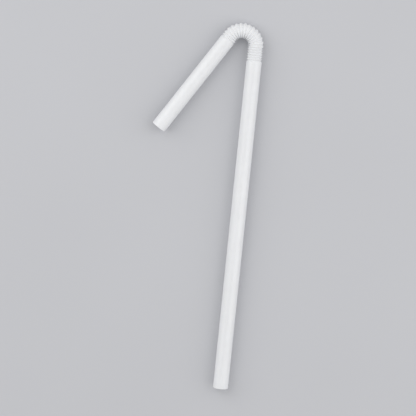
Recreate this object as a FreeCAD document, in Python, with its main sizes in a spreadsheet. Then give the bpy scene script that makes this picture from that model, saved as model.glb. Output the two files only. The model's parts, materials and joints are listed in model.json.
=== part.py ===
"""A flexible plastic drinking straw, one thin-walled moulded piece.

A long straight leg, a corrugated section folded over like a hook, and a short straight arm
that leads back beside the leg. The straw lies on its side: the line down its middle is level,
the leg runs along Y with its open end at -Y, and the arm leans away towards -X.
The origin is on the surface that the straw lies on, under the middle of its outline.
"""
import FreeCAD, Part
import os
from typing import NamedTuple

# Driving sizes, in millimetres, degrees and whole folds.
SIZES = {
    # along the middle of the straw, from one open end to the other
    "straw_length": 196.85,
    # from the end of the bend to the open end of the arm
    "arm_length": 45.4,
    "tube_diameter": 6.0,
    "tube_wall": 0.18,
    # how far the straw is folded over, and the space left inside the bend
    "bend_angle": 147.4,
    "bend_inner_radius": 2.4,
    # folds that the bend opens, and folds that stay closed on each side of it
    "bend_folds": 12,
    "leg_folds": 6,
    "arm_folds": 2,
    "closed_fold_pitch": 0.98,
    # ridges stand a little proud of the tube, and grooves lie below it
    "ridge_rise": 0.12,
    "groove_depth": 0.5,
    # the groove's place between two ridges, as a share of the pitch
    "closed_groove_share": 0.18,
    "bend_groove_share": 0.29,
    # in the bend the grooves lean, and are shallower on the stretched side
    "groove_lean": 2.2,
    "groove_shift": 0.12,
    # the folds of the bore lie inside the outer ones, a little nearer to the leg
    "closed_fold_wall": 0.3,
    "bend_fold_wall": 0.36,
    "bend_wall_shift": 0.14,
    "bend_wall_lean": 1.6,
    "fold_wall_back": 0.09,
}

# Sizes that follow from the driving ones.
LAYOUT = {
    "tube_radius": "Sizes.tube_diameter / 2",
    "bore_radius": "Sizes.tube_diameter / 2 - Sizes.tube_wall",
    "ridge_radius": "Sizes.tube_diameter / 2 + Sizes.ridge_rise",
    "groove_radius": "Sizes.tube_diameter / 2 - Sizes.groove_depth",
    "bend_radius": "Layout.ridge_radius + Sizes.bend_inner_radius",
    "bend_length": "Layout.bend_radius * Sizes.bend_angle * pi / 180",
    "leg_length": "Sizes.straw_length - Sizes.arm_length - Layout.bend_length",
    "leg_folds_length": "Sizes.leg_folds * Sizes.closed_fold_pitch",
    "arm_folds_length": "Sizes.arm_folds * Sizes.closed_fold_pitch",
    # the arm's far corner, measured from the middle of the bend's circle
    "arm_reach": "(Layout.bend_radius + Layout.tube_radius) * cos(Sizes.bend_angle)"
    " - Sizes.arm_length * sin(Sizes.bend_angle)",
    # the middle of the bend's circle, placed so that the outline is centred on the origin
    "bend_x": "-(Layout.arm_reach + Layout.bend_radius + Layout.ridge_radius) / 2",
    "bend_y": "(Layout.leg_length - Layout.bend_radius - Layout.ridge_radius) / 2",
}


def make_sheet(document):
    """The driving sizes, one to a row."""
    sheet = document.addObject("Spreadsheet::Sheet", "Sizes")
    for row, (alias, size) in enumerate(SIZES.items(), start=1):
        sheet.set(f"A{row}", alias.replace("_", " "))
        sheet.set(f"B{row}", str(size))
        sheet.setAlias(f"B{row}", alias)
    document.recompute()
    return sheet


def make_layout(document):
    """The sizes that follow from the sheet's, kept where every feature can read them."""
    layout = document.addObject("App::VarSet", "Layout")
    for name, formula in LAYOUT.items():
        layout.addProperty("App::PropertyFloat", name)
        layout.setExpression(name, formula)
    document.recompute()
    return layout


def place(feature, turn, run, shift="0", lean="0"):
    """Sets a feature square to the straw's line, turned with the bend.

    turn is how far round the bend it is, run is how far it is past that point along the
    straight, shift moves it away from the middle of the bend's circle, and lean turns it
    further in its own place.
    """
    across = f"(Layout.bend_radius + {shift})"
    x = f"Layout.bend_x + {across} * cos({turn}) - ({run}) * sin({turn})"
    y = f"Layout.bend_y + {across} * sin({turn}) + ({run}) * cos({turn})"
    feature.setExpression(
        "Placement",
        f"placement(vector({x}; {y}; Layout.ridge_radius); rotation({turn} + {lean}; 0; -90))",
    )


def make_tube(document, name, radius, length, turn, run):
    """A straight round rod along the straw's line."""
    tube = document.addObject("Part::Cylinder", name)
    tube.setExpression("Radius", radius)
    tube.setExpression("Height", length)
    place(tube, turn, run)
    return tube


def make_ring(document, name, radius, turn, run, shift="0", lean="0"):
    """A circle round the straw's line, one section of a loft."""
    ring = document.addObject("Part::Circle", name)
    ring.setExpression("Radius", radius)
    place(ring, turn, run, shift, lean)
    return ring


class Crease(NamedTuple):
    """A groove or ridge of the corrugated section, and where it lies along the straw."""

    turn: str
    run: str
    is_groove: bool
    in_bend: bool = False
    leans: bool = False


def creases(sheet):
    """The grooves and ridges in turn, from the leg to the arm."""
    found = []
    pitch = "Sizes.closed_fold_pitch"
    leg_folds = int(sheet.leg_folds)
    for fold in range(1, leg_folds + 1):
        left = leg_folds - fold
        groove_run = f"(Sizes.closed_groove_share - {left + 1}) * {pitch}"
        found.append(Crease("0", groove_run, True))
        found.append(Crease("0", f"{-left} * {pitch}", False, left == 0, left == 0))
    step = "Sizes.bend_angle / Sizes.bend_folds"
    bend_folds = int(sheet.bend_folds)
    for fold in range(1, bend_folds + 1):
        groove_turn = f"({fold - 1} + Sizes.bend_groove_share) * {step}"
        found.append(Crease(groove_turn, "0", True, True, True))
        found.append(Crease(f"{fold} * {step}", "0", False, True, fold < bend_folds))
    for fold in range(int(sheet.arm_folds)):
        groove_run = f"({fold} + Sizes.closed_groove_share) * {pitch}"
        found.append(Crease("Sizes.bend_angle", groove_run, True))
        found.append(Crease("Sizes.bend_angle", f"{fold + 1} * {pitch}", False))
    # the last ridge is the end of the smooth arm
    return found[:-1]


def make_crease(document, name, crease, bore):
    """The ring of one groove or ridge, outside or in the bore."""
    radius = "Layout.groove_radius" if crease.is_groove else "Layout.ridge_radius"
    run = crease.run
    shift = lean = "0"
    if crease.is_groove and crease.in_bend:
        shift = "Sizes.groove_shift"
        lean = "Sizes.groove_lean"
    if bore:
        radius += " - Sizes.bend_fold_wall" if crease.in_bend else " - Sizes.closed_fold_wall"
        run += " - Sizes.fold_wall_back"
        shift += " + Sizes.bend_wall_shift" if crease.in_bend else ""
        lean += " + Sizes.bend_wall_lean" if crease.leans else ""
    return make_ring(document, name, radius, crease.turn, run, shift, lean)


def make_folds(document, sheet, name, rings_ends, bore):
    """The corrugated section: each fold runs from a ridge into a groove and out to the next."""
    first_ring, last_ring = rings_ends
    rings = [first_ring]
    for number, crease in enumerate(creases(sheet), start=1):
        rings.append(make_crease(document, f"{name}_crease_{number}", crease, bore))
    rings.append(last_ring)
    folds = []
    for first in range(0, len(rings) - 2, 2):
        fold = document.addObject("Part::Loft", f"{name}_fold_{first // 2 + 1}")
        fold.Sections = rings[first:first + 3]
        fold.Solid = True
        fold.Ruled = True
        folds.append(fold)
    return folds


def make_straw_form(document, sheet, name, radius, bore):
    """The whole straw's outside, or the space inside it, as one solid."""
    back = "Sizes.fold_wall_back" if bore else "0"
    leg_end = f"-Layout.leg_folds_length - {back}"
    arm_start = f"Layout.arm_folds_length - {back}"
    leg_length = f"Layout.leg_length + {leg_end}"
    arm_length = f"Sizes.arm_length - ({arm_start})"
    leg = make_tube(document, f"{name}_leg", radius, leg_length, "0", "-Layout.leg_length")
    arm = make_tube(document, f"{name}_arm", radius, arm_length, "Sizes.bend_angle", arm_start)
    first_ring = make_ring(document, f"{name}_leg_end", radius, "0", leg_end)
    last_ring = make_ring(document, f"{name}_arm_start", radius, "Sizes.bend_angle", arm_start)
    folds = make_folds(document, sheet, name, (first_ring, last_ring), bore)
    form = document.addObject("Part::MultiFuse", name)
    form.Shapes = [leg, *folds, arm]
    return form


def make_straw(document, sheet):
    """The straw: its outside less the bore, open at both ends."""
    straw = document.addObject("Part::Cut", "straw")
    straw.Base = make_straw_form(document, sheet, "outside", "Layout.tube_radius", bore=False)
    straw.Tool = make_straw_form(document, sheet, "bore", "Layout.bore_radius", bore=True)
    straw.Label = "straw"
    return straw


def check(document, sub_parts):
    """Stops where a feature failed or a sub-part has no sound solid."""
    for feature in document.Objects:
        if "Invalid" in feature.State or "Error" in feature.State:
            raise RuntimeError(f"{feature.Name} failed: {feature.State}")
    for sub_part in sub_parts:
        shape = sub_part.Shape
        if shape.isNull() or not shape.isValid() or len(shape.Solids) != 1:
            raise RuntimeError(f"{sub_part.Label} isn't one sound solid")


document = FreeCAD.newDocument("FlexibleStraw")
sheet = make_sheet(document)
make_layout(document)
sub_parts = [make_straw(document, sheet)]
document.recompute()
check(document, sub_parts)
os.makedirs("parts", exist_ok=True)
for sub_part in sub_parts:
    sub_part.Shape.exportStep(f"parts/{sub_part.Label}.step")
    box = sub_part.Shape.BoundBox
    print(sub_part.Label, f"{sub_part.Shape.Volume:.1f} mm3", box)
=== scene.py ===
"""A flexible plastic drinking straw, lying on its side and folded over at its corrugated bend.

The straw is modelled unbent, standing up along Z: its wall is walked ring by ring from the foot
to the mouth on the outside, and back to the foot down the bore. The creases are then rounded,
the corrugated section is bent, and the straw is laid down where the frame has it.
"""
import json
import math
import random
from typing import NamedTuple

import bmesh
import bpy
from bpy.props import FloatProperty, FloatVectorProperty, IntProperty, PointerProperty
from mathutils import Matrix, Vector


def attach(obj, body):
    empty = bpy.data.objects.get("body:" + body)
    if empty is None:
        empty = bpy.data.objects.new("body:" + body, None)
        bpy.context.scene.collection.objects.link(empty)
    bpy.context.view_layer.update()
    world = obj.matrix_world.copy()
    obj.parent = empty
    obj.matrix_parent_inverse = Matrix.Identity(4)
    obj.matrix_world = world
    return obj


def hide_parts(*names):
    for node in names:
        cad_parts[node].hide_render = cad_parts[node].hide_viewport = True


bl_info = {
    "name": "Flexible Drinking Straw",
    "version": (1, 0, 0),
    "blender": (4, 5, 0),
    "location": "3D View > Sidebar > Straw",
    "description": "Models a bent flexible drinking straw and the plain stage that it lies on",
    "category": "Add Mesh",
}

MM = 0.001
STRAW_NAME = "flexible_straw"

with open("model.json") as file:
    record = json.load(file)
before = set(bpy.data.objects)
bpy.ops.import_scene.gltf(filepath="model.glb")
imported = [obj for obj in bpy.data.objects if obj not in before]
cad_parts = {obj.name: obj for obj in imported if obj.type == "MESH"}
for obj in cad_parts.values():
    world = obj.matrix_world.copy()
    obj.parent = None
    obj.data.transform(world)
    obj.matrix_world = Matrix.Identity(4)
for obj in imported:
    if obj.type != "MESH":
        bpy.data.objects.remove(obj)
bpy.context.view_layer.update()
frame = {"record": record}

# What the frame says of the straw: where its foot is, which way its mouth points, and how
# thick and long its smooth parts are.
MOUNTS = {mount["name"]: mount for mount in frame["record"]["mounts"]}
FOOT = Vector(MOUNTS["leg_outside"]["pos_m"])
OUT_OF_MOUTH = Vector(MOUNTS["arm_bore"]["axis"])
TUBE_RADIUS = MOUNTS["leg_outside"]["dims"]["r_mm"] * MM
BORE_RADIUS = MOUNTS["leg_bore"]["dims"]["r_mm"] * MM
SMOOTH_LEG = MOUNTS["leg_outside"]["dims"]["length_mm"] * MM
SMOOTH_ARM = MOUNTS["arm_bore"]["dims"]["length_mm"] * MM
BEND_ANGLE = math.atan2(-OUT_OF_MOUTH.x, OUT_OF_MOUTH.y)
# the straw lies on its ridges
RIDGE_RADIUS = FOOT.z


def length_property(name, description, default):
    """A size in metres, shown in the scene's own units."""
    return FloatProperty(
        name=name,
        description=description,
        default=default,
        precision=6,
        subtype="DISTANCE",
        unit="LENGTH",
    )


def count_property(name, description, default, least):
    return IntProperty(name=name, description=description, default=default, min=least)


def colour_property(name, description, default):
    return FloatVectorProperty(
        name=name,
        description=description,
        default=default,
        size=3,
        subtype="COLOR",
        min=0.0,
        max=1.0,
    )


def angle_property(name, description, default):
    return FloatProperty(
        name=name, description=description, default=default, subtype="ANGLE", unit="ROTATION"
    )


def share_property(name, description, default):
    return FloatProperty(
        name=name, description=description, default=default, subtype="FACTOR", min=0.0, max=1.0
    )


class StrawSizes(bpy.types.PropertyGroup):
    """The straw's sizes."""

    tube_radius: length_property("Tube Radius", "Outside of the smooth leg and arm", TUBE_RADIUS)
    tube_wall: length_property("Tube Wall", "Wall of the leg and arm", TUBE_RADIUS - BORE_RADIUS)
    ridge_radius: length_property("Ridge Radius", "Outside of the folds' ridges", RIDGE_RADIUS)
    groove_depth: length_property("Groove Depth", "From the tube in to a groove", 0.5 * MM)
    inner_radius: length_property("Inner Radius", "Space left inside the bend", 2.4 * MM)
    bend_angle: angle_property("Bend Angle", "How far the straw is folded over", BEND_ANGLE)
    bend_folds: count_property("Bend Folds", "Folds that the bend opens", 12, least=1)
    leg_folds: count_property("Leg Folds", "Closed folds by the leg", 6, least=0)
    arm_folds: count_property("Arm Folds", "Closed folds by the arm", 2, least=0)
    fold_pitch: length_property("Fold Pitch", "From ridge to ridge of closed folds", 0.98 * MM)
    fold_wall: length_property("Fold Wall", "Wall of the closed folds", 0.3 * MM)
    bend_wall: length_property("Bend Wall", "Wall of the opened folds", 0.36 * MM)
    crease_width: length_property("Crease Width", "Rounding of a ridge or groove", 0.13 * MM)
    unevenness: length_property("Unevenness", "How far folds differ", 0.02 * MM)
    waviness: length_property("Waviness", "Ripple of the smooth tube", 0.012 * MM)
    sides: count_property("Sides", "Points round the tube", 112, least=3)


class StrawPlastic(bpy.types.PropertyGroup):
    """The straw's colours and finish."""

    colour: colour_property(
        "Colour", "The plastic as it looks along the smooth tube", (0.865, 0.875, 0.895)
    )
    strained_colour: colour_property(
        "Strained Colour", "The plastic where folding has whitened it", (0.91, 0.915, 0.925)
    )
    translucency: share_property(
        "Translucency", "Share of the light that soaks into the thin wall", 0.25
    )


class StrawStage(bpy.types.PropertyGroup):
    """The floor, the light and the camera."""

    floor_colour: colour_property("Floor Colour", "The pale floor", (0.57, 0.575, 0.60))
    tilt: angle_property("Tilt", "How far the view slants towards the foot", math.radians(9.0))
    roll: angle_property("Roll", "How far the leg leans in the picture", math.radians(5.7))
    distance: length_property("Distance", "From the camera to the straw", 0.95)
    filled: share_property("Filled", "Share of the picture's height that the straw takes", 0.88)


class Ring(NamedTuple):
    """One ring of the wall on the unbent straw.

    run is how far it is past the start of the bend, shift is how far it lies away from the side
    that the straw bends to, lean is how far it is tipped, and roundness is its share of the
    crease width.
    """

    run: float
    radius: float
    shift: float = 0.0
    lean: float = 0.0
    roundness: float = 0.0


# The form of the folds that the frame has, as shares of a pitch or in metres and radians.
CLOSED_GROOVE_SHARE = 0.18
BEND_GROOVE_SHARE = 0.29
GROOVE_LEAN = math.radians(2.2)
GROOVE_SHIFT = 0.12 * MM
BORE_LEAN = math.radians(1.6)
BORE_SHIFT = 0.14 * MM
BORE_SET_BACK = 0.09 * MM
# rounding lowers the ridges, which stand this much higher before it
RIDGE_SPARE = 0.035 * MM
# how round each kind of edge is
OUTER_CREASE = 1.0
BORE_CREASE = 0.7
TUBE_END = 0.8
RIM = 0.35
CREASE_STEPS = 4
# plain rings along the smooth leg and arm
LEG_RINGS = 40
ARM_RINGS = 14
FOLD_SEED = 7
RIPPLE_SIZE = 9.0 * MM
SMOOTH_UNDER = math.radians(40.0)
# an edge this near the foot's end is part of its rings
NEAR_FOOT = 0.01 * MM


def bend_radius(sizes):
    """From the middle of the bend's circle to the straw's own middle line."""
    return sizes.ridge_radius + sizes.inner_radius


def bend_length(sizes):
    return bend_radius(sizes) * sizes.bend_angle


def leg_length(sizes):
    return SMOOTH_LEG + sizes.leg_folds * sizes.fold_pitch


def even_rings(start, end, radius, count):
    """Rings of a smooth tube after its start and before its end."""
    step = (end - start) / (count + 1)
    return [Ring(start + step * number, radius) for number in range(1, count + 1)]


def crease_rings(sizes, bore):
    """The ridges and grooves in turn, from the leg to the arm, each a little uneven."""
    chance = random.Random(FOLD_SEED)
    closed_wall = sizes.fold_wall if bore else 0.0
    bend_wall = sizes.bend_wall if bore else 0.0
    bend_shift = BORE_SHIFT if bore else 0.0
    bend_lean = BORE_LEAN if bore else 0.0
    back = BORE_SET_BACK if bore else 0.0
    roundness = BORE_CREASE if bore else OUTER_CREASE
    ridge = sizes.ridge_radius + RIDGE_SPARE
    groove = sizes.tube_radius - sizes.groove_depth
    pitch = sizes.fold_pitch
    step = bend_length(sizes) / sizes.bend_folds
    rings = []

    def add(run, radius, wall, shift=0.0, lean=0.0):
        run += chance.uniform(-1.0, 1.0) * sizes.unevenness
        radius -= chance.random() * sizes.unevenness
        rings.append(Ring(run - back, radius - wall, shift, lean, roundness))

    for fold in range(sizes.leg_folds, 0, -1):
        add((CLOSED_GROOVE_SHARE - fold) * pitch, groove, closed_wall)
        if fold > 1:
            add((1 - fold) * pitch, ridge, closed_wall)
        else:
            add(0.0, ridge, bend_wall, bend_shift, bend_lean)
    for fold in range(sizes.bend_folds):
        groove_run = (fold + BEND_GROOVE_SHARE) * step
        add(groove_run, groove, bend_wall, bend_shift + GROOVE_SHIFT, bend_lean + GROOVE_LEAN)
        last = fold == sizes.bend_folds - 1
        add((fold + 1) * step, ridge, bend_wall, bend_shift, 0.0 if last else bend_lean)
    for fold in range(sizes.arm_folds):
        start = bend_length(sizes) + fold * pitch
        add(start + CLOSED_GROOVE_SHARE * pitch, groove, closed_wall)
        add(start + pitch, ridge, closed_wall)
    # the last ridge is the end of the smooth arm
    return rings[:-1]


def wall_rings(sizes, bore):
    """All the rings of the outside or of the bore, from the foot to the mouth."""
    radius = sizes.tube_radius - (sizes.tube_wall if bore else 0.0)
    back = BORE_SET_BACK if bore else 0.0
    foot = -leg_length(sizes)
    leg_end = -sizes.leg_folds * sizes.fold_pitch - back
    arm_start = bend_length(sizes) + sizes.arm_folds * sizes.fold_pitch - back
    mouth = bend_length(sizes) + sizes.arm_folds * sizes.fold_pitch + SMOOTH_ARM
    return [
        Ring(foot, radius, roundness=RIM),
        *even_rings(foot, leg_end, radius, LEG_RINGS),
        Ring(leg_end, radius, roundness=TUBE_END),
        *crease_rings(sizes, bore),
        Ring(arm_start, radius, roundness=TUBE_END),
        *even_rings(arm_start, mouth, radius, ARM_RINGS),
        Ring(mouth, radius, roundness=RIM),
    ]


def start_clean():
    """Leaves edit mode and selects nothing."""
    if bpy.context.mode != "OBJECT":
        bpy.ops.object.mode_set(mode="OBJECT")
    bpy.ops.object.select_all(action="DESELECT")


def set_roundness(ring, before=0.0):
    """Sets the selected ring's share of the bevel, which a new ring copies from the last."""
    if ring.roundness != before:
        bpy.ops.transform.edge_bevelweight(value=ring.roundness - before)


def walk_on(ring, following):
    """Extrudes the selected ring to the one that follows it."""
    step = (ring.shift - following.shift, 0.0, following.run - ring.run)
    middle = (-following.shift, 0.0, following.run)
    bpy.ops.mesh.extrude_region_move(TRANSFORM_OT_translate={"value": step})
    if following.lean != ring.lean:
        # with no window this operator turns the other way
        bpy.ops.transform.rotate(
            value=ring.lean - following.lean, orient_axis="Y", center_override=middle
        )
    if following.radius != ring.radius:
        scale = following.radius / ring.radius
        bpy.ops.transform.resize(value=(scale, scale, scale), center_override=middle)
    set_roundness(following, ring.roundness)


def join_ends(straw, foot):
    """Bridges the two rings at the foot, the outside's and the bore's."""
    bpy.ops.mesh.select_all(action="DESELECT")
    mesh = bmesh.from_edit_mesh(straw.data)
    near = foot.run + NEAR_FOOT
    for edge in mesh.edges:
        if all(vertex.co.z < near for vertex in edge.verts):
            edge.select_set(True)
    bmesh.update_edit_mesh(straw.data)
    bpy.ops.mesh.bridge_edge_loops()


def apply_modifier(straw, kind, **settings):
    """Adds a modifier with these settings and applies it."""
    modifier = straw.modifiers.new(kind.title(), kind)
    for name, value in settings.items():
        setattr(modifier, name, value)
    bpy.ops.object.modifier_apply(modifier=modifier.name)


def model_wall(sizes):
    """Walks the whole wall of the unbent straw, outside and bore, and closes it at the foot."""
    start_clean()
    outside = wall_rings(sizes, bore=False)
    bore = wall_rings(sizes, bore=True)
    first = outside[0]
    bpy.ops.mesh.primitive_circle_add(
        vertices=sizes.sides, radius=first.radius, location=(0.0, 0.0, first.run)
    )
    straw = bpy.context.object
    straw.name = STRAW_NAME
    straw.data.name = STRAW_NAME
    bpy.ops.object.transform_apply()
    bpy.ops.object.mode_set(mode="EDIT")
    bpy.ops.mesh.select_all(action="SELECT")
    set_roundness(first)
    way = [*outside, *reversed(bore)]
    for ring, following in zip(way, way[1:]):
        walk_on(ring, following)
    join_ends(straw, first)
    bpy.ops.mesh.select_all(action="SELECT")
    bpy.ops.mesh.normals_make_consistent(inside=False)
    bpy.ops.object.mode_set(mode="OBJECT")
    return straw


def finish_wall(straw, sizes):
    """Rounds the creases and rims, and lets the wall ripple a little."""
    apply_modifier(
        straw,
        "BEVEL",
        width=sizes.crease_width,
        segments=CREASE_STEPS,
        limit_method="WEIGHT",
        use_clamp_overlap=True,
    )
    ripple = bpy.data.textures.new("ripple", "CLOUDS")
    ripple.noise_basis = "IMPROVED_PERLIN"
    ripple.noise_scale = RIPPLE_SIZE
    # a middle of 1 only sinks the surface, so the straw stays inside the frame's box
    apply_modifier(straw, "DISPLACE", texture=ripple, strength=sizes.waviness, mid_level=1.0)
    bpy.data.textures.remove(ripple)


def remember_unbent(straw):
    """Keeps each point's place on the unbent straw, for patterns that follow the tube."""
    unbent = straw.data.attributes.new("unbent", "FLOAT_VECTOR", "POINT")
    for vertex, place in zip(straw.data.vertices, unbent.data):
        place.vector = vertex.co


def bend(straw, sizes):
    """Bends the corrugated section, with the straight arm carried round by it."""
    heights = [vertex.co.z for vertex in straw.data.vertices]
    lowest = min(heights)
    span = max(heights) - lowest
    apply_modifier(
        straw,
        "SIMPLE_DEFORM",
        deform_method="BEND",
        deform_axis="Y",
        angle=sizes.bend_angle,
        limits=(-lowest / span, (bend_length(sizes) - lowest) / span),
    )


def lay_down(straw, sizes):
    """Lays the straw on its side, leg along Y, with its bend where the frame has it."""
    straw.rotation_euler = (math.pi / 2, 0.0, math.pi)
    straw.location = (FOOT.x, FOOT.y + leg_length(sizes), FOOT.z)
    bpy.ops.object.transform_apply(location=True, rotation=True, scale=True)


class MESH_OT_flexible_straw(bpy.types.Operator):
    """Model the straw: smooth leg, corrugated bend and smooth arm, in one thin open wall"""

    bl_idname = "mesh.flexible_straw"
    bl_label = "Flexible Straw"
    bl_options = {"REGISTER", "UNDO"}

    def execute(self, context):
        sizes = context.scene.straw_sizes
        straw = model_wall(sizes)
        finish_wall(straw, sizes)
        remember_unbent(straw)
        bend(straw, sizes)
        lay_down(straw, sizes)
        bpy.ops.object.shade_smooth_by_angle(angle=SMOOTH_UNDER)
        straw.data.materials.append(make_plastic(context.scene.straw_plastic, sizes))
        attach(straw, "root")
        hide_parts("straw")
        return {"FINISHED"}


# a Mix node's sockets for colours share their names with others, so they are counted
MIX_FIRST_COLOUR = 6
MIX_SECOND_COLOUR = 7
MIX_COLOUR = 2


def new_material(name):
    """A material that starts with its Principled BSDF and output alone."""
    material = bpy.data.materials.new(name)
    material.use_nodes = True
    return material


def add_node(tree, kind, place, inputs=None, **settings):
    """Adds a node at a place in the tree, with these settings and values on its sockets."""
    node = tree.nodes.new(kind)
    node.location = place
    for name, value in settings.items():
        setattr(node, name, value)
    for name, value in (inputs or {}).items():
        node.inputs[name].default_value = value
    return node


def new_group(name, inputs):
    """A shader node group that takes a place and some numbers and puts out one value."""
    group = bpy.data.node_groups.new(name, "ShaderNodeTree")
    group.interface.new_socket("Place", in_out="INPUT", socket_type="NodeSocketVector")
    for socket_name, value in inputs.items():
        socket = group.interface.new_socket(
            socket_name, in_out="INPUT", socket_type="NodeSocketFloat"
        )
        socket.default_value = value
    group.interface.new_socket("Value", in_out="OUTPUT", socket_type="NodeSocketFloat")
    start = add_node(group, "NodeGroupInput", (-800, 0))
    end = add_node(group, "NodeGroupOutput", (400, 0))
    return group, start, end


def finish_pattern(group, noise, end):
    """Spreads most of the noise over 0 to 1, as the group's value."""
    wider = add_node(
        group, "ShaderNodeMapRange", (100, 0), {"From Min": 0.25, "From Max": 0.75}, clamp=False
    )
    group.links.new(noise.outputs["Fac"], wider.inputs["Value"])
    group.links.new(wider.outputs["Result"], end.inputs["Value"])


# moves the streaks off the tube's middle line, where the noise's own grid would leave a seam
STREAK_OFFSET = (0.37, 0.61, 0.23)


def streaks_group():
    """Noise drawn out along the tube, as the die leaves it, round a middle of 0.5.

    Across and Along say how many changes of it there are to a metre.
    """
    group, start, end = new_group("die_streaks", {"Across": 1000.0, "Along": 10.0})
    link = group.links.new
    scale = add_node(group, "ShaderNodeCombineXYZ", (-600, -150))
    stretched = add_node(
        group, "ShaderNodeVectorMath", (-400, 0), {2: STREAK_OFFSET}, operation="MULTIPLY_ADD"
    )
    noise = add_node(group, "ShaderNodeTexNoise", (-200, 0), {"Scale": 1.0, "Detail": 2.0})
    link(start.outputs["Across"], scale.inputs["X"])
    link(start.outputs["Across"], scale.inputs["Y"])
    link(start.outputs["Along"], scale.inputs["Z"])
    link(start.outputs["Place"], stretched.inputs[0])
    link(scale.outputs["Vector"], stretched.inputs[1])
    link(stretched.outputs["Vector"], noise.inputs["Vector"])
    finish_pattern(group, noise, end)
    return group


def clouds_group():
    """Soft even clouds round a middle of 0.5."""
    group, start, end = new_group("soft_clouds", {"Scale": 100.0, "Detail": 2.0})
    link = group.links.new
    noise = add_node(group, "ShaderNodeTexNoise", (-300, 0), {"Roughness": 0.55})
    link(start.outputs["Place"], noise.inputs["Vector"])
    link(start.outputs["Scale"], noise.inputs["Scale"])
    link(start.outputs["Detail"], noise.inputs["Detail"])
    finish_pattern(group, noise, end)
    return group


def shared_group(name):
    """A shared node group, built the first time that a material wants it."""
    makers = {"die_streaks": streaks_group, "soft_clouds": clouds_group}
    return bpy.data.node_groups.get(name) or makers[name]()


def place_group(tree, name, place, source, inputs):
    """Places a shared group in a material, fed with a place on the surface."""
    node = add_node(tree, "ShaderNodeGroup", place, node_tree=shared_group(name))
    for socket_name, value in inputs.items():
        node.inputs[socket_name].default_value = value
    tree.links.new(source, node.inputs["Place"])
    return node.outputs["Value"]


def weigh(tree, place, value, low, high):
    """Turns a value from 0 to 1 into one from low to high."""
    node = add_node(
        tree, "ShaderNodeMapRange", place, {"To Min": low, "To Max": high}, clamp=False
    )
    tree.links.new(value, node.inputs["Value"])
    return node.outputs["Result"]


def combine(tree, place, operation, first, second):
    """A Math node on two values."""
    node = add_node(tree, "ShaderNodeMath", place, operation=operation)
    tree.links.new(first, node.inputs[0])
    tree.links.new(second, node.inputs[1])
    return node.outputs["Value"]


def band(tree, place, radius, none_at, full_at):
    """0 where the unbent tube's radius is none_at, rising to 1 where it is full_at."""
    node = add_node(
        tree,
        "ShaderNodeMapRange",
        place,
        {"From Min": none_at, "From Max": full_at},
        interpolation_type="SMOOTHSTEP",
    )
    tree.links.new(radius, node.inputs["Value"])
    return node.outputs["Result"]


PLASTIC_IOR = 1.49
# how deep light soaks into the plastic, in red, green and blue
SOAK_DEPTH = 0.3 * MM
SOAK_BY_COLOUR = (1.0, 1.03, 1.08)
# how far from a ridge or groove its whitening starts, and where it is full
CREST_FADE = (0.09 * MM, 0.02 * MM)
BOTTOM_FADE = (0.16 * MM, 0.04 * MM)


def creased_mask(tree, unbent, sizes):
    """1 on the crests and in the bottoms of the grooves, which folding has strained."""
    level = add_node(
        tree, "ShaderNodeVectorMath", (-1300, -300), {1: (1.0, 1.0, 0.0)}, operation="MULTIPLY"
    )
    distance = add_node(tree, "ShaderNodeVectorMath", (-1120, -300), operation="LENGTH")
    tree.links.new(unbent, level.inputs[0])
    tree.links.new(level.outputs["Vector"], distance.inputs[0])
    radius = distance.outputs["Value"]
    ridge = sizes.ridge_radius
    groove = sizes.tube_radius - sizes.groove_depth
    crest = band(tree, (-940, -200), radius, *(ridge - fade for fade in CREST_FADE))
    bottom = band(tree, (-940, -450), radius, *(groove + fade for fade in BOTTOM_FADE))
    return combine(tree, (-760, -300), "MAXIMUM", crest, bottom)


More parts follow.
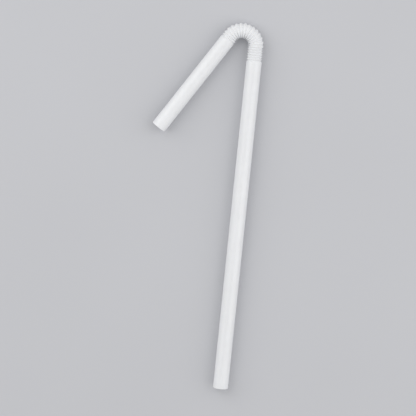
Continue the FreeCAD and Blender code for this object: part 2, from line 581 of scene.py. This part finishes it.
def make_plastic(plastic, sizes):
    """White plastic, faintly streaked along the tube and whitened at its creases."""
    material = new_material("straw_plastic")
    tree = material.node_tree
    link = tree.links.new
    surface = tree.nodes["Principled BSDF"]
    surface.inputs["IOR"].default_value = PLASTIC_IOR
    surface.inputs["Subsurface Weight"].default_value = plastic.translucency
    surface.inputs["Subsurface Radius"].default_value = SOAK_BY_COLOUR
    surface.inputs["Subsurface Scale"].default_value = SOAK_DEPTH

    # where a point was on the unbent tube
    unbent = add_node(
        tree, "ShaderNodeAttribute", (-1500, 0), attribute_name="unbent"
    ).outputs["Vector"]
    creased = creased_mask(tree, unbent, sizes)
    broad = place_group(
        tree, "die_streaks", (-1100, 400), unbent, {"Across": 420.0, "Along": 9.0}
    )
    fine = place_group(
        tree, "die_streaks", (-1100, 220), unbent, {"Across": 3600.0, "Along": 26.0}
    )
    cloud = place_group(
        tree, "soft_clouds", (-1100, 40), unbent, {"Scale": 260.0, "Detail": 3.0}
    )
    shade = combine(
        tree,
        (-700, 300),
        "MULTIPLY",
        weigh(tree, (-900, 420), broad, 0.96, 1.022),
        weigh(tree, (-900, 100), cloud, 0.98, 1.015),
    )
    whitened = add_node(
        tree,
        "ShaderNodeMix",
        (-560, 40),
        {
            MIX_FIRST_COLOUR: (*plastic.colour, 1.0),
            MIX_SECOND_COLOUR: (*plastic.strained_colour, 1.0),
        },
        data_type="RGBA",
    )
    link(creased, whitened.inputs["Factor"])
    coloured = add_node(tree, "ShaderNodeVectorMath", (-360, 120), operation="SCALE")
    link(whitened.outputs[MIX_COLOUR], coloured.inputs[0])
    link(shade, coloured.inputs["Scale"])
    link(coloured.outputs["Vector"], surface.inputs["Base Color"])

    # the smooth tube shines more than its creases
    gloss = combine(
        tree,
        (-560, -180),
        "ADD",
        weigh(tree, (-740, -80), fine, 0.29, 0.37),
        weigh(tree, (-740, -480), creased, 0.0, 0.09),
    )
    link(gloss, surface.inputs["Roughness"])

    lines = add_node(
        tree, "ShaderNodeBump", (-360, -320), {"Strength": 0.6, "Distance": 0.01 * MM}
    )
    ripples = add_node(
        tree, "ShaderNodeBump", (-180, -320), {"Strength": 0.5, "Distance": 0.02 * MM}
    )
    link(fine, lines.inputs["Height"])
    link(cloud, ripples.inputs["Height"])
    link(lines.outputs["Normal"], ripples.inputs["Normal"])
    link(ripples.outputs["Normal"], surface.inputs["Normal"])
    return material


class SCENE_OT_straw_stage(bpy.types.Operator):
    """Set the stage: a plain pale floor, soft studio light and the camera"""

    bl_idname = "scene.straw_stage"
    bl_label = "Straw Stage"
    bl_options = {"REGISTER", "UNDO"}

    def execute(self, context):
        stage = context.scene.straw_stage
        start_clean()
        add_floor(stage)
        add_lamps(stage)
        light_world()
        add_camera(stage)
        context.scene.view_settings.view_transform = "Standard"
        return {"FINISHED"}


def view_axes(stage):
    """The picture's right, its up, and the way back to the camera."""
    right = Vector((math.cos(stage.roll), math.sin(stage.roll), 0.0))
    along = Vector((-math.sin(stage.roll), math.cos(stage.roll), 0.0))
    level_up = Vector((0.0, 0.0, 1.0))
    back = math.cos(stage.tilt) * level_up + math.sin(stage.tilt) * along
    up = math.cos(stage.tilt) * along - math.sin(stage.tilt) * level_up
    return right, up, back


FLOOR_RADIUS = 6.0


def add_floor(stage):
    """A wide flat floor with a faint even grain."""
    bpy.ops.mesh.primitive_circle_add(vertices=64, radius=FLOOR_RADIUS, fill_type="NGON")
    floor = bpy.context.object
    floor.name = "floor"
    material = new_material("floor")
    tree = material.node_tree
    surface = tree.nodes["Principled BSDF"]
    surface.inputs["Roughness"].default_value = 0.85
    surface.inputs["Specular IOR Level"].default_value = 0.2
    place = add_node(tree, "ShaderNodeTexCoord", (-1100, 0)).outputs["Object"]
    cloud = place_group(tree, "soft_clouds", (-900, 0), place, {"Scale": 14.0, "Detail": 1.0})
    shade = weigh(tree, (-700, 0), cloud, 0.99, 1.01)
    coloured = add_node(
        tree,
        "ShaderNodeVectorMath",
        (-400, 0),
        {0: tuple(stage.floor_colour)},
        operation="SCALE",
    )
    tree.links.new(shade, coloured.inputs["Scale"])
    tree.links.new(coloured.outputs["Vector"], surface.inputs["Base Color"])
    floor.data.materials.append(material)


class Lamp(NamedTuple):
    """A soft square lamp: where it stands as seen in the picture, its size, and what it adds."""

    name: str
    right: float
    up: float
    back: float
    size: float
    share: float


# Places and sizes are in metres. A share of 1 would light the floor as a sky of strength 1 does.
LAMPS = (
    Lamp("key", right=-0.50, up=0.26, back=0.56, size=0.80, share=0.29),
    Lamp("fill", right=0.58, up=-0.06, back=0.46, size=0.80, share=0.24),
)
SKY_SHARE = 0.58


def add_lamps(stage):
    """Soft lamps on both sides, aimed at the straw's middle."""
    right, up, back = view_axes(stage)
    for lamp in LAMPS:
        place = right * lamp.right + up * lamp.up + back * lamp.back
        steepness = place.normalized().z
        lamp_data = bpy.data.lights.new(lamp.name, "AREA")
        lamp_data.size = lamp.size
        lamp_data.energy = lamp.share * math.pi ** 2 * place.length_squared / steepness
        lamp_object = bpy.data.objects.new(lamp.name, lamp_data)
        lamp_object.location = place
        lamp_object.rotation_euler = place.to_track_quat("Z", "Y").to_euler()
        lamp_object.visible_camera = False
        bpy.context.scene.collection.objects.link(lamp_object)


def light_world():
    """An even pale sky."""
    world = bpy.data.worlds.new("sky")
    world.use_nodes = True
    sky = world.node_tree.nodes["Background"]
    sky.inputs["Color"].default_value = (1.0, 1.0, 1.0, 1.0)
    sky.inputs["Strength"].default_value = SKY_SHARE
    bpy.context.scene.world = world


def add_camera(stage):
    """A long lens at the photograph's viewing angle, filled by the straw."""
    right, up, back = view_axes(stage)
    straw = bpy.data.objects[STRAW_NAME]
    corners = [vertex.co for vertex in straw.data.vertices]
    across = [corner.dot(right) for corner in corners]
    upwards = [corner.dot(up) for corner in corners]
    depths = [corner.dot(back) for corner in corners]
    middle = (
        right * (min(across) + max(across)) / 2
        + up * (min(upwards) + max(upwards)) / 2
        + back * (min(depths) + max(depths)) / 2
    )
    camera_data = bpy.data.cameras.new("camera")
    camera = bpy.data.objects.new("camera", camera_data)
    height = (max(upwards) - min(upwards)) / stage.filled
    camera_data.lens = camera_data.sensor_width * stage.distance / height
    camera.matrix_world = Matrix.Translation(middle + back * stage.distance) @ Matrix(
        (right, up, back)
    ).transposed().to_4x4()
    bpy.context.scene.collection.objects.link(camera)
    bpy.context.scene.camera = camera


class VIEW3D_PT_straw(bpy.types.Panel):
    """The straw's sizes, colours and stage"""

    bl_label = "Flexible Straw"
    bl_space_type = "VIEW_3D"
    bl_region_type = "UI"
    bl_category = "Straw"

    def draw(self, context):
        layout = self.layout
        layout.use_property_split = True
        for group in ("straw_sizes", "straw_plastic", "straw_stage"):
            settings = getattr(context.scene, group)
            box = layout.box()
            for name in settings.__annotations__:
                box.prop(settings, name)
        layout.operator(MESH_OT_flexible_straw.bl_idname)
        layout.operator(SCENE_OT_straw_stage.bl_idname)


CLASSES = (
    StrawSizes,
    StrawPlastic,
    StrawStage,
    MESH_OT_flexible_straw,
    SCENE_OT_straw_stage,
    VIEW3D_PT_straw,
)


def register():
    for class_ in CLASSES:
        bpy.utils.register_class(class_)
    bpy.types.Scene.straw_sizes = PointerProperty(type=StrawSizes)
    bpy.types.Scene.straw_plastic = PointerProperty(type=StrawPlastic)
    bpy.types.Scene.straw_stage = PointerProperty(type=StrawStage)


def unregister():
    del bpy.types.Scene.straw_stage
    del bpy.types.Scene.straw_plastic
    del bpy.types.Scene.straw_sizes
    for class_ in reversed(CLASSES):
        bpy.utils.unregister_class(class_)


def main():
    register()
    bpy.ops.mesh.flexible_straw()
    bpy.ops.scene.straw_stage()


if __name__ == "__main__":
    main()
